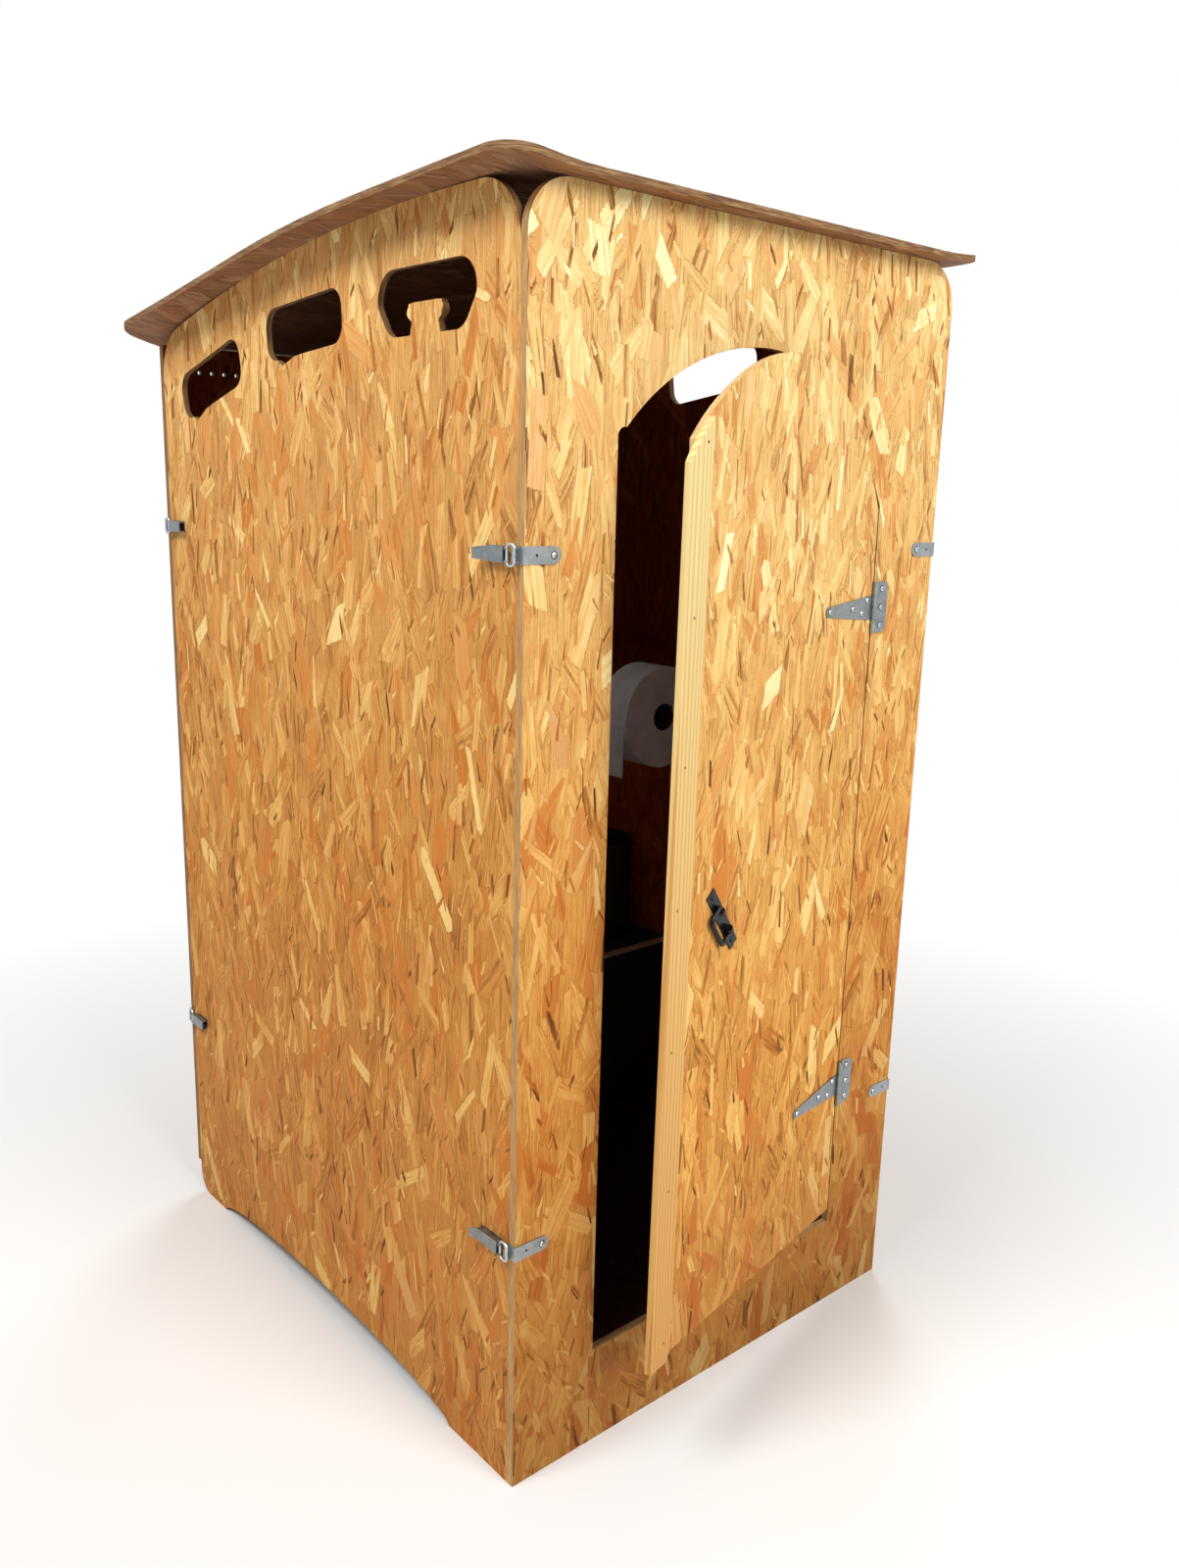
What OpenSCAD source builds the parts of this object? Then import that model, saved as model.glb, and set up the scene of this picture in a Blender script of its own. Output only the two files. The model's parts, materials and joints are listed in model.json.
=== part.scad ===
// Dry toilet cabin: four strand board walls clipped together with toggle latches,
// a thin roof sheet bent over them, an arched door and a seat bench inside.
// Millimetres, +Z up, the front faces -Y, the ground is at z = 0.

/* [Cabin] */
// Outside width across the two side walls
cabin_w = 1000; // [900:5:1200]
// Depth from the front face to the back edge of the side walls
cabin_d = 1230; // [1100:5:1400]
// Thickness of the strand board walls, floor and door
board_t = 15; // [12:1:18]
// Radius of the front wall's two top corners
front_corner_r = 78; // [30:1:110]
// Radius of each side wall's two top corners
side_corner_r = 95; // [40:1:130]
// Height at which each side wall divides into its sheet and the band with the vents
band_z = 1760; // [1600:5:1780]
// Radius of each side wall's lower back corner
heel_r = 45; // [20:1:70]
// Length of each side wall's front foot, from the front face
foot_front = 190; // [120:5:260]
// Distance of the back foot's front end from the front face
foot_back = 1098; // [1000:2:1150]
// Height of the shallow arch cut between the feet
foot_rise = 47; // [20:1:80]
// Height of the back wall's lower edge above the ground
back_bottom = 70; // [50:1:120]
// Clear height left between the back wall and the roof
back_gap = 3; // [1:1:40]

/* [Roof] */
// Height of the roof's underside at its crown
crown_z = 2084; // [1950:1:2200]
// Distance of the crown behind the front face
crown_y = 146; // [80:2:240]
// Radius that the roof sheet is bent to
roof_r = 4240; // [3600:10:5200]
// Thickness of the roof sheet
roof_t = 10; // [6:1:15]
// Overhang beyond the left wall
roof_left = 66; // [40:1:120]
// Overhang beyond the right wall
roof_right = 36; // [30:1:120]
// Overhang beyond the front face
roof_front = 44; // [20:1:120]
// Overhang beyond the back wall
roof_back = 41; // [10:1:90]
// Plan radius of the roof's two front corners
roof_front_r = 58; // [20:1:180]
// Plan radius of the roof's two back corners
roof_back_r = 30; // [20:1:180]
// Height by which the front corners curl up
lift_front = 26; // [0:1:60]
// Height by which the back corners curl up
lift_back = 51; // [0:1:80]
// Height by which the side edges droop between the corners
edge_droop = 7; // [0:1:15]

/* [Vents] */
// Length of each vent along the roof line
vent_l = 268; // [200:2:300]
// Height of the rounded vents
vent_h = 90; // [60:1:110]
// Corner radius of the vents
vent_r = 33; // [10:1:44]
// Distance of the front vent's middle behind the front face
front_vent_y = 251; // [240:1:262]
// Height of the front vent's middle
front_vent_z = 1937; // [1920:1:1945]
// Width of the tongue of board standing up in the front vent
tongue_w = 88; // [60:1:110]
// Distance of the middle vent's middle behind the front face
middle_vent_y = 632; // [610:1:660]
// Height of the middle vent's middle
middle_vent_z = 1927; // [1900:1:1935]
// Distance of the back vent's middle behind the front face
back_vent_y = 1007; // [980:1:1020]
// Height of the back vent's middle
back_vent_z = 1855; // [1830:1:1865]
// Distance by which the right wall's plain vents sit further forward than the left wall's
right_forward = 34; // [0:1:50]
// Diameter of the small air holes along the back wall's top
air_hole_d = 10; // [6:1:14]
// Distance between neighbouring air holes
air_pitch = 28; // [20:1:50]

/* [Doorway] */
// Clear width of the doorway
doorway_w = 650; // [560:2:720]
// Height of the sill above the ground
sill_z = 185; // [120:1:240]
// Height of the arch's crown above the ground
arch_z = 1893; // [1750:1:1930]
// Radius of the doorway arch
arch_r = 411; // [340:1:600]

/* [Door] */
// Angle by which the door stands open at rest
door_open = 11.4; // [0:0.1:60]
// Gap between the door and the jamb on the hinge side
door_gap = 5; // [4:0.5:10]
// Gap between the door's top and the doorway arch
arch_gap = 21; // [6:1:30]
// Gap between the door and the sill
sill_gap = 17; // [6:1:30]
// Width of the pine strip along the free edge
strip_w = 74; // [40:1:90]
// Thickness of the pine strip
strip_t = 12; // [8:1:20]
// Overlap of the pine strip past the doorway's edge
strip_lap = 12; // [2:1:30]

/* [Ironmongery] */
// Height of the upper hinge
hinge_hi = 1462; // [1300:2:1600]
// Height of the lower hinge
hinge_lo = 500; // [350:2:700]
// Length of a hinge strap from its pin to its tip
strap_l = 182; // [120:1:240]
// Height of the upper corner latches
latch_hi = 1567; // [1400:1:1750]
// Height of the lower corner latches
latch_lo = 445; // [300:1:600]

/* [Inside] */
// Height of the seat bench's top above the ground
bench_z = 588; // [540:1:640]
// Distance of the bench's front edge behind the front face
bench_y = 667; // [560:1:760]
// Outside radius of the paper roll
roll_r = 115; // [60:1:130]
// Width of the paper roll
roll_w = 95; // [80:1:120]

/* [Hidden] */
half_w = cabin_w/2;
inner_w = half_w - board_t;
back_face = cabin_d + board_t;
right_split_1 = (front_vent_y + middle_vent_y)/2 - right_forward;
right_split_2 = (middle_vent_y + back_vent_y)/2 - right_forward;
roof_steps = 360;
roof_seat = 0.15;
door_l = -doorway_w/2;
door_r = doorway_w/2;
arch_cz = arch_z - arch_r;
free_gap = 30;
pin_x = door_r - door_gap/2;
pin_y = -5;
pin_r = 2.5;
knuckle_r = 5;
knuckle_h = 95;
strap_root = 44;
pin_slack = 0.06;
leaf_t = 2.5;
floor_top = sill_z - 2;
bearer_s = 40;
bench_t = 12;
lipping_t = 4;
seat_y = bench_y + 265;
seat_hole = [110, 140];
seat_rim = 75;
seat_t = 18;
roll_x = inner_w - roll_r - 15;
roll_y = 575;
roll_z = 1166;
core_r = 30;
rod_r = 6;
bucket_x = 379;
bucket_y = 832;
bucket_r = 100;
bucket_h = 237;
handle_u = 482;
handle_z = 974;
handle_tilt = 37;
bail_y = -7.5;
bail_rod = 4.5;
bail_arm = 32;
hook_w = 26;
hook_reach = 68;
hook_holes = [22, 54];
lip_y = 17;
lip_half = 9;
link_r = 2.5;
link_off = 9;
link_near = 11;
link_far = 28;
link_half = 15.5;
latch_t = 2;
latch_slack = 0.2;
lever_off = 11;
lever_y = 34;
lever_l = 54;
lever_w = 24;
pivot_off = 6;
pivot_y = 46;
pivot_r = 2;
front_reach = pin_y - (pin_x - door_l + strip_lap)*sin(door_open) - (strip_t + pin_y)*cos(door_open);
back_reach = back_face + roof_back;
mid_x = (roof_right - roof_left)/2;
mid_y = (front_reach + back_reach)/2;

osb = [0.80, 0.58, 0.32];
osb_dark = [0.50, 0.33, 0.20];
pine = [0.90, 0.72, 0.46];
zinc = [0.68, 0.70, 0.71];
black = [0.05, 0.05, 0.05];
paper = [0.93, 0.91, 0.89];

// Height of the roof's underside at a distance behind the front face
function roof_under(y) = crown_z - roof_r + sqrt(roof_r*roof_r - (y - crown_y)*(y - crown_y));

// Step from 0 to 1 between two values, starting gently
function ease(v, from, to) = pow(min(max((v - from)/(to - from), 0), 1), 2);

// Share of the curl at a distance from the cabin's middle line
function curl(x) = ease(abs(x), half_w - 100, half_w + 90);

// Height of the roof sheet over a point in plan, measured at a depth above its underside
function roof_z(x, y, up) = crown_z + roof_seat - roof_r + sqrt(pow(roof_r + up, 2) - pow(y - crown_y, 2))
  + curl(x)*lift_front*ease(-y, -350, 80)
  + curl(x)*lift_back*ease(y, cabin_d - 480, cabin_d + 50)
  - edge_droop*ease(abs(x), half_w, half_w + 90);

// Puts pieces drawn from the front face into the cabin's own frame
module place() {
  translate([-mid_x, -mid_y, 0])
    children();
}

// Stands a front view, drawn as x and z, on the front face with its depth going back
module front_board(depth, y = 0) {
  translate([0, y + depth, 0])
    rotate([90, 0, 0])
      linear_extrude(height = depth)
        children();
}

// Stands a side view, drawn as distance from the front and height, across the width
module side_board(x, depth) {
  translate([x, 0, 0])
    rotate([90, 0, 90])
      linear_extrude(height = depth)
        children();
}

// Turns the door's pieces about the hinge pin into the pose at rest
module swing() {
  translate([pin_x, pin_y, 0])
    rotate([0, 0, door_open])
      translate([-pin_x, -pin_y, 0])
        children();
}

// Waste piece between a square corner and its rounding, corner at the origin
module corner_waste(r) {
  difference() {
    translate([-1, -1])
      square(r + 1);
    translate([r, r])
      circle(r = r, $fn = 96);
  }
}

// Disc of the roof's bend, in the side view
module bend_disc(r) {
  translate([crown_y, crown_z - roof_r])
    circle(r = r, $fn = roof_steps);
}

// Front wall outline with rounded top corners
module front_outline() {
  top = roof_under(0) - 0.4;
  difference() {
    translate([-half_w, 0])
      square([cabin_w, top]);
    for (s = [-1, 1])
      translate([s*half_w, top])
        scale([-s, -1])
          corner_waste(front_corner_r);
  }
}

// Arched opening with a margin taken off its sides and arch
module arch_opening(top_gap, bottom, left, right) {
  intersection() {
    translate([left, bottom])
      square([right - left, arch_z]);
    union() {
      translate([0, arch_cz])
        circle(r = arch_r - top_gap, $fn = 180);
      translate([-doorway_w, 0])
        square([2*doorway_w, arch_cz]);
    }
  }
}

// Doorway with the drilled hole where the saw cut was started
module doorway() {
  start_r = 14;
  spring_z = arch_cz + sqrt(arch_r*arch_r - door_l*door_l);
  arch_opening(0, sill_z, door_l, door_r);
  translate([door_l + start_r, spring_z + start_r/2])
    circle(r = start_r, $fn = 32);
  translate([door_l, spring_z - start_r/2])
    square(start_r);
}

// Plain rounded vent
module rounded_vent() {
  offset(r = vent_r, $fn = 64)
    square([vent_l - 2*vent_r, vent_h - 2*vent_r], center = true);
}

// Rounded vent with one pointed lower back corner
module pointed_vent() {
  rounded_vent();
  polygon([
    [0, 0], [0, -0.5*vent_h], [0.13*vent_l, -0.51*vent_h], [0.30*vent_l, -0.63*vent_h],
    [0.45*vent_l, -0.32*vent_h], [0.5*vent_l, 0.02*vent_h]
  ]);
}

// Wide vent with a tongue of board standing up in it
module tongue_vent() {
  top_r = 45;
  low_r = 28;
  inset = 10;
  high = 1.12*vent_h;
  tongue = 0.47*high;
  tongue_r = 17;
  flare = 5;
  difference() {
    hull()
      for (s = [-1, 1]) {
        translate([s*(vent_l/2 - top_r), high/2 - top_r])
          circle(r = top_r, $fn = 64);
        translate([s*(vent_l/2 - low_r - inset), low_r - high/2])
          circle(r = low_r, $fn = 64);
      }
    translate([-tongue_w/2, -high/2 - 1])
      square([tongue_w, tongue]);
    hull()
      for (s = [-1, 1])
        translate([s*(tongue_w/2 + flare - tongue_r), tongue - high/2 - tongue_r])
          circle(r = tongue_r, $fn = 48);
  }
}

// Vents of the left wall: a tongue stands in the front one, the others end in a point
module left_vents() {
  middle_tilt = -4;
  back_tilt = -14;
  translate([front_vent_y, front_vent_z])
    tongue_vent();
  translate([middle_vent_y, middle_vent_z])
    rotate(middle_tilt)
      pointed_vent();
  translate([back_vent_y, back_vent_z])
    rotate(back_tilt)
      pointed_vent();
}

// Vents of the right wall, plain and further forward, the front two also a little lower
module right_vents() {
  front_drop = 4;
  middle_drop = 8;
  middle_tilt = -8;
  back_tilt = -14;
  translate([front_vent_y - right_forward, front_vent_z - front_drop])
    rounded_vent();
  translate([middle_vent_y - right_forward, middle_vent_z - middle_drop])
    rotate(middle_tilt)
      rounded_vent();
  translate([back_vent_y - right_forward, back_vent_z])
    rotate(back_tilt)
      rounded_vent();
}

// Side wall blank, its bent top edge running into two rounded corners
module side_blank() {
  spare = 2*side_corner_r;
  offset(r = side_corner_r, $fn = 128)
    offset(delta = -side_corner_r)
      intersection() {
        translate([board_t, -spare])
          square([cabin_d - board_t, crown_z + spare]);
        bend_disc(roof_r);
      }
}

// Side wall outline in the side view, less the vents given to it
module side_outline() {
  difference() {
    intersection() {
      side_blank();
      square([cabin_d, crown_z]);
    }
    translate([cabin_d, 0])
      scale([-1, 1])
        corner_waste(heel_r);
    translate([(foot_front + foot_back)/2, 0])
      scale([(foot_back - foot_front)/2, foot_rise])
        circle(r = 1, $fn = 120);
    children();
  }
}

module front_left_jamb() {
  color(osb)
    place()
      front_board(board_t)
        intersection() {
          difference() {
            front_outline();
            doorway();
          }
          translate([-half_w, 0])
            square([half_w + door_l, crown_z]);
        }
}

module front_right_jamb() {
  color(osb)
    place()
      front_board(board_t)
        intersection() {
          front_outline();
          translate([door_r, 0])
            square([half_w - door_r, crown_z]);
        }
}

module front_head() {
  color(osb)
    place()
      front_board(board_t)
        intersection() {
          difference() {
            front_outline();
            doorway();
          }
          translate([door_l, (sill_z + arch_z)/2])
            square([doorway_w, crown_z]);
        }
}

module front_sill() {
  color(osb)
    place()
      front_board(board_t)
        translate([door_l, 0])
          square([doorway_w, sill_z]);
}

// Side wall between two heights, less the vents given to it
module side_part(from, to) {
  intersection() {
    side_outline()
      children();
    translate([0, from])
      square([cabin_d, to - from]);
  }
}

module left_wall() {
  color(osb)
    place()
      side_board(-half_w, board_t)
        side_part(0, band_z);
}

module left_vent_band() {
  color(osb)
    place()
      side_board(-half_w, board_t)
        side_part(band_z, crown_z)
          left_vents();
}

module right_wall() {
  color(osb)
    place()
      side_board(half_w - board_t, board_t)
        side_part(0, band_z);
}

// Right wall above its sheet, from one distance behind the front face to another
module right_vent_part(near, far) {
  side_board(half_w - board_t, board_t)
    intersection() {
      side_part(band_z, crown_z)
        right_vents();
      translate([near, band_z])
        square([far - near, crown_z - band_z]);
    }
}

module right_front_vent_panel() {
  color(osb)
    place()
      right_vent_part(0, right_split_1);
}

module right_middle_vent_panel() {
  color(osb)
    place()
      right_vent_part(right_split_1, right_split_2);
}

module right_back_vent_panel() {
  color(osb)
    place()
      right_vent_part(right_split_2, cabin_d);
}

module back_wall() {
  top = roof_under(back_face) - back_gap;
  end_margin = 60;
  hole_drop = 50;
  holes = floor((half_w - end_margin)/air_pitch);
  color(osb)
    place()
      front_board(board_t, cabin_d)
        difference() {
          translate([-half_w, back_bottom])
            square([cabin_w, top - back_bottom]);
          for (i = [-holes:holes])
            translate([i*air_pitch, top - hole_drop])
              circle(d = air_hole_d, $fn = 16);
        }
}

// Roof's outline in plan
module roof_plan() {
  front = roof_front_r - roof_front;
  back = back_reach - roof_back_r;
  hull() {
    translate([roof_front_r - half_w - roof_left, front])
      circle(r = roof_front_r, $fn = 96);
    translate([half_w + roof_right - roof_front_r, front])
      circle(r = roof_front_r, $fn = 96);
    translate([roof_back_r - half_w - roof_left, back])
      circle(r = roof_back_r, $fn = 96);
    translate([half_w + roof_right - roof_back_r, back])
      circle(r = roof_back_r, $fn = 96);
  }
}

// Thin sheet bent from front to back, its corners curling up as the bend makes them;
// drawn as a grid of points on both faces, wider and longer than the roof
module curled_sheet() {
  outer = max(roof_left, roof_right) + 20;
  edge_n = 5;
  half = [0, half_w - 100, half_w - 65, half_w - 30, for (i = [0:edge_n]) half_w + i*outer/edge_n];
  cols = [for (i = [1 - len(half):len(half) - 1]) sign(i)*half[abs(i)]];
  rows = [for (k = [-3:17]) crown_y + roof_r*sin(k*360/roof_steps)];
  nc = len(cols);
  nr = len(rows);
  span = nr*nc;
  points = [for (up = [0, roof_t]) for (y = rows) for (x = cols) [x, y, roof_z(x, y, up)]];
  under = [for (r = [0:nr - 2]) for (c = [0:nc - 2]) let (k = r*nc + c)
    each [[k, k + 1, k + nc + 1], [k, k + nc + 1, k + nc]]];
  upper = [for (f = under) [f[2] + span, f[1] + span, f[0] + span]];
  ends = [for (c = [0:nc - 2]) let (k = c, m = span - nc + c)
    each [[k, k + span, k + span + 1, k + 1], [m, m + 1, m + span + 1, m + span]]];
  sides = [for (r = [0:nr - 2]) let (k = r*nc, m = r*nc + nc - 1)
    each [[k, k + nc, k + nc + span, k + span], [m, m + span, m + nc + span, m + nc]]];
  polyhedron(points, concat(under, upper, ends, sides), convexity = 4);
}

module roof_sheet() {
  color(osb_dark)
    place()
      intersection() {
        curled_sheet();
        translate([0, 0, crown_z - 600])
          linear_extrude(height = 800)
            roof_plan();
      }
}

module floor_panel() {
  color(osb)
    place()
      translate([-inner_w, board_t, floor_top - board_t])
        cube([2*inner_w, cabin_d - board_t, board_t]);
}

module floor_bearers() {
  color(pine)
    place()
      for (s = [-1, 1])
        translate([s*(inner_w - bearer_s/2) - bearer_s/2, board_t, floor_top - board_t - bearer_s])
          cube([bearer_s, cabin_d - board_t, bearer_s]);
}

module bench_front() {
  color(black)
    place()
      translate([-inner_w, bench_y + lipping_t, floor_top])
        cube([2*inner_w, bench_t, bench_z - bench_t - floor_top]);
}

module bench_top() {
  color(black)
    place()
      translate([0, 0, bench_z - bench_t])
        linear_extrude(height = bench_t)
          difference() {
            translate([-inner_w, bench_y + lipping_t])
              square([2*inner_w, cabin_d - bench_y - lipping_t]);
            translate([0, seat_y])
              scale(seat_hole + [5, 5])
                circle(r = 1, $fn = 64);
          }
}

module bench_lipping() {
  color(pine)
    place()
      translate([-inner_w, bench_y, bench_z - bench_t])
        cube([2*inner_w, lipping_t, bench_t]);
}

module seat_ring() {
  color(black)
    place()
      translate([0, seat_y, bench_z])
        linear_extrude(height = seat_t)
          difference() {
            scale(seat_hole + [seat_rim, seat_rim])
              circle(r = 1, $fn = 72);
            scale(seat_hole)
              circle(r = 1, $fn = 64);
          }
}

module bucket() {
  base_r = bucket_r - 6;
  wall = 3;
  rim_h = 12;
  color(black)
    place()
      translate([bucket_x, bucket_y, bench_z])
        rotate_extrude($fn = 64)
          polygon([
            [0, 0], [base_r, 0], [bucket_r - wall, bucket_h - rim_h], [bucket_r, bucket_h - rim_h],
            [bucket_r, bucket_h], [bucket_r - 2*wall, bucket_h], [base_r - wall, wall], [0, wall]
          ]);
}

module paper_roll() {
  color(paper)
    place()
      translate([roll_x, roll_y + roll_w, roll_z])
        rotate([90, 0, 0])
          linear_extrude(height = roll_w)
            difference() {
              circle(r = roll_r, $fn = 96);
              circle(r = core_r, $fn = 48);
            }
}

module paper_end() {
  drop = 128;
  sheet_t = 1.5;
  margin = 7;
  color(paper)
    place()
      translate([roll_x - roll_r - sheet_t, roll_y + margin, roll_z - drop])
        cube([sheet_t, roll_w - 2*margin, drop]);
}

module roll_holder() {
  slack = 0.2;
  plate = [3, 40, 60];
  rod_z = roll_z + core_r - rod_r - slack;
  turn_y = roll_y + roll_w + 20;
  color(black)
    place() {
      translate([roll_x, turn_y, rod_z])
        rotate([90, 0, 0])
          cylinder(r = rod_r, h = roll_w + plate[1], $fn = 32);
      translate([roll_x, turn_y, rod_z])
        sphere(r = rod_r, $fn = 32);
      translate([roll_x, turn_y, rod_z])
        rotate([0, 90, 0])
          cylinder(r = rod_r, h = inner_w - roll_x - 1, $fn = 32);
      translate([inner_w - plate[0], turn_y - plate[1]/2, rod_z - plate[2]/2])
        cube(plate);
    }
}

module door_panel() {
  color(osb)
    place()
      swing()
        front_board(board_t)
          arch_opening(arch_gap, sill_z + sill_gap, door_l + free_gap, door_r - door_gap);
}

module door_strip() {
  left = door_l - strip_lap;
  foot = 22;
  color(pine)
    place()
      swing()
        front_board(strip_t, -strip_t)
          difference() {
            arch_opening(arch_gap, sill_z + sill_gap, left, left + strip_w);
            translate([left + strip_w, sill_z + sill_gap])
              rotate(45)
                square(foot, center = true);
          }
}

// Height of each hinge in turn
module each_hinge() {
  for (z = [hinge_hi, hinge_lo])
    translate([pin_x, 0, z])
      children();
}

module hinge_straps() {
  tip_r = 9;
  lap = 6;
  barrel = strap_root - 1;
  color(zinc)
    place()
      swing()
        each_hinge() {
          difference() {
            union() {
              front_board(leaf_t, -leaf_t)
                hull() {
                  translate([-knuckle_r - 2*lap, -strap_root/2])
                    square([lap + 2, strap_root]);
                  translate([tip_r - strap_l, 0])
                    circle(r = tip_r, $fn = 32);
                }
              translate([-knuckle_r - lap, -leaf_t, -barrel/2])
                cube([knuckle_r + lap, leaf_t, barrel]);
              translate([0, pin_y, -barrel/2])
                cylinder(r = knuckle_r, h = barrel, $fn = 32);
            }
            translate([0, pin_y, -barrel])
              cylinder(r = pin_r + pin_slack, h = 2*barrel, $fn = 32);
          }
        }
}

module hinge_plates() {
  near = knuckle_r + 4;
  far = 38;
  bevel = 7;
  round_r = 4;
  tall = knuckle_h/2 - round_r;
  barrel = (knuckle_h - strap_root)/2;
  color(zinc)
    place()
      each_hinge() {
        front_board(leaf_t, -leaf_t)
          offset(r = round_r, $fn = 32)
            polygon([
              [near, -tall], [far - bevel, -tall], [far, bevel - tall],
              [far, tall - bevel], [far - bevel, tall], [near, tall]
            ]);
        for (s = [-1, 1])
          translate([0, 0, s*(knuckle_h - barrel)/2 - barrel/2]) {
            translate([0, -leaf_t, 0])
              cube([near + 2, leaf_t, barrel]);
            translate([0, pin_y, 0])
              cylinder(r = knuckle_r, h = barrel, $fn = 32);
          }
        translate([0, pin_y, -knuckle_h/2])
          cylinder(r = pin_r, h = knuckle_h, $fn = 32);
      }
}

// Handle's place on the door's face
module at_handle() {
  translate([pin_x - handle_u, 0, handle_z])
    rotate([0, -handle_tilt, 0])
      children();
}

module handle_plate() {
  long = 134;
  broad = 25;
  lug = 6;
  gap = 1;
  slack = 0.2;
  color(black)
    place()
      swing()
        at_handle() {
          front_board(leaf_t, -leaf_t)
            square([broad, long], center = true);
          for (s = [-1, 1])
            translate([0, bail_y, s*(bail_arm - bail_rod - lug/2 - gap) - lug/2])
              difference() {
                cylinder(r = -bail_y, h = lug, $fn = 40);
                translate([0, 0, -1])
                  cylinder(r = bail_rod + slack, h = lug + 2, $fn = 40);
              }
        }
}

// Bail hanging down beside its plate, its ends turned into the two lugs
module handle_bow() {
  drop = 30;
  bend = 9;
  pivot = 14;
  color(black)
    place()
      swing()
        at_handle()
          translate([0, bail_y, 0]) {
            translate([-drop, 0, bend - bail_arm])
              cylinder(r = bail_rod, h = 2*(bail_arm - bend), $fn = 24);
            for (s = [-1, 1])
              scale([1, 1, s]) {
                translate([bend - drop, 0, bail_arm - bend])
                  rotate([90, 0, 0])
                    rotate([0, 0, 90])
                      rotate_extrude(angle = 90, $fn = 48)
                        translate([bend, 0])
                          circle(r = bail_rod, $fn = 24);
                translate([bend - drop, 0, bail_arm])
                  rotate([0, 90, 0])
                    cylinder(r = bail_rod, h = drop - bend, $fn = 24);
                translate([0, 0, bail_arm])
                  sphere(r = bail_rod, $fn = 24);
                translate([0, 0, bail_arm - pivot])
                  cylinder(r = bail_rod, h = pivot, $fn = 24);
              }
          }
}

// Puts one latch, drawn at the front left corner, at all eight places
module each_latch() {
  for (z = [latch_hi, latch_lo])
    for (mx = [1, -1])
      for (my = [0, 1])
        translate([0, my*back_face, z])
          scale([mx, 1 - 2*my, 1])
            translate([-half_w, 0, 0])
              children();
}

// Hook plate screwed to the front, bent round the corner to a rolled lip
module latch_hooks() {
  lip_r = 4;
  hole_r = 2.4;
  color(zinc)
    place()
      each_latch() {
        front_board(leaf_t, -leaf_t)
          difference() {
            union() {
              translate([-leaf_t, -hook_w/2])
                square([hook_reach - hook_w/2 + leaf_t, hook_w]);
              translate([hook_reach - hook_w/2, 0])
                circle(d = hook_w, $fn = 32);
            }
            for (x = hook_holes)
              translate([x, 0])
                circle(r = hole_r, $fn = 16);
          }
        translate([-leaf_t, -leaf_t, -hook_w/2])
          cube([leaf_t, lip_y + leaf_t, hook_w]);
        translate([-leaf_t - lip_r/2, lip_y, -lip_half])
          cylinder(r = lip_r, h = 2*lip_half, $fn = 32);
      }
}

// Wire link from the lever's front end over the hook's lip
module latch_bails() {
  bend = 6;
  mid_y = (link_near + link_far)/2;
  half_y = (link_far - link_near)/2;
  color(zinc)
    place()
      each_latch()
        translate([-link_off, mid_y, 0])
          for (s = [-1, 1]) {
            translate([0, s*half_y, bend - link_half])
              cylinder(r = link_r, h = 2*(link_half - bend), $fn = 24);
            translate([0, half_y - bend, s*link_half])
              rotate([90, 0, 0])
                cylinder(r = link_r, h = 2*(half_y - bend), $fn = 24);
            for (t = [-1, 1])
              translate([0, s*(half_y - bend), t*(link_half - bend)])
                scale([1, s, t])
                  rotate([90, 0, 90])
                    rotate_extrude(angle = 90, $fn = 48)
                      translate([bend, 0])
                        circle(r = link_r, $fn = 24);
          }
}

// Lever's flange in plan, with the eye that the link turns in
module lever_flange() {
  difference() {
    union() {
      translate([-lever_off, lever_y])
        square([lever_off - 1.5*latch_t, lever_l]);
      translate([-link_off, link_far])
        circle(r = 2*link_r, $fn = 32);
      translate([-link_off - link_r, link_far])
        square([2*link_r, lever_y + 1 - link_far]);
    }
    translate([-link_off, link_far])
      circle(r = link_r + latch_slack, $fn = 32);
  }
}

// Channel lever lying along the side wall, its end flared out for the thumb
module latch_levers() {
  flange_z = lever_w/2 - latch_t;
  out = lever_off + latch_t;
  end = lever_y + lever_l;
  tab = 13;
  tip = end + tab;
  color(zinc)
    place()
      each_latch() {
        intersection() {
          translate([0, 0, -lever_w/2])
            linear_extrude(height = lever_w)
              polygon([
                [-lever_off, lever_y], [-out, lever_y], [-out, end],
                [-out - tab/2, tip], [-lever_off - tab/2, tip], [-lever_off, end]
              ]);
          side_board(-2*out, 2*out)
            polygon([
              [lever_y, -lever_w/2], [end, latch_t - lever_w/2], [tip, 2*latch_t - lever_w/2],
              [tip, lever_w/2 - 2*latch_t], [end, lever_w/2 - latch_t], [lever_y, lever_w/2]
            ]);
        }
        for (s = [-1, 1])
          translate([0, 0, s*(flange_z - latch_t/2) - latch_t/2])
            linear_extrude(height = latch_t)
              lever_flange();
        translate([-pivot_off, pivot_y, -flange_z])
          cylinder(r = pivot_r, h = 2*flange_z, $fn = 24);
      }
}

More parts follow.
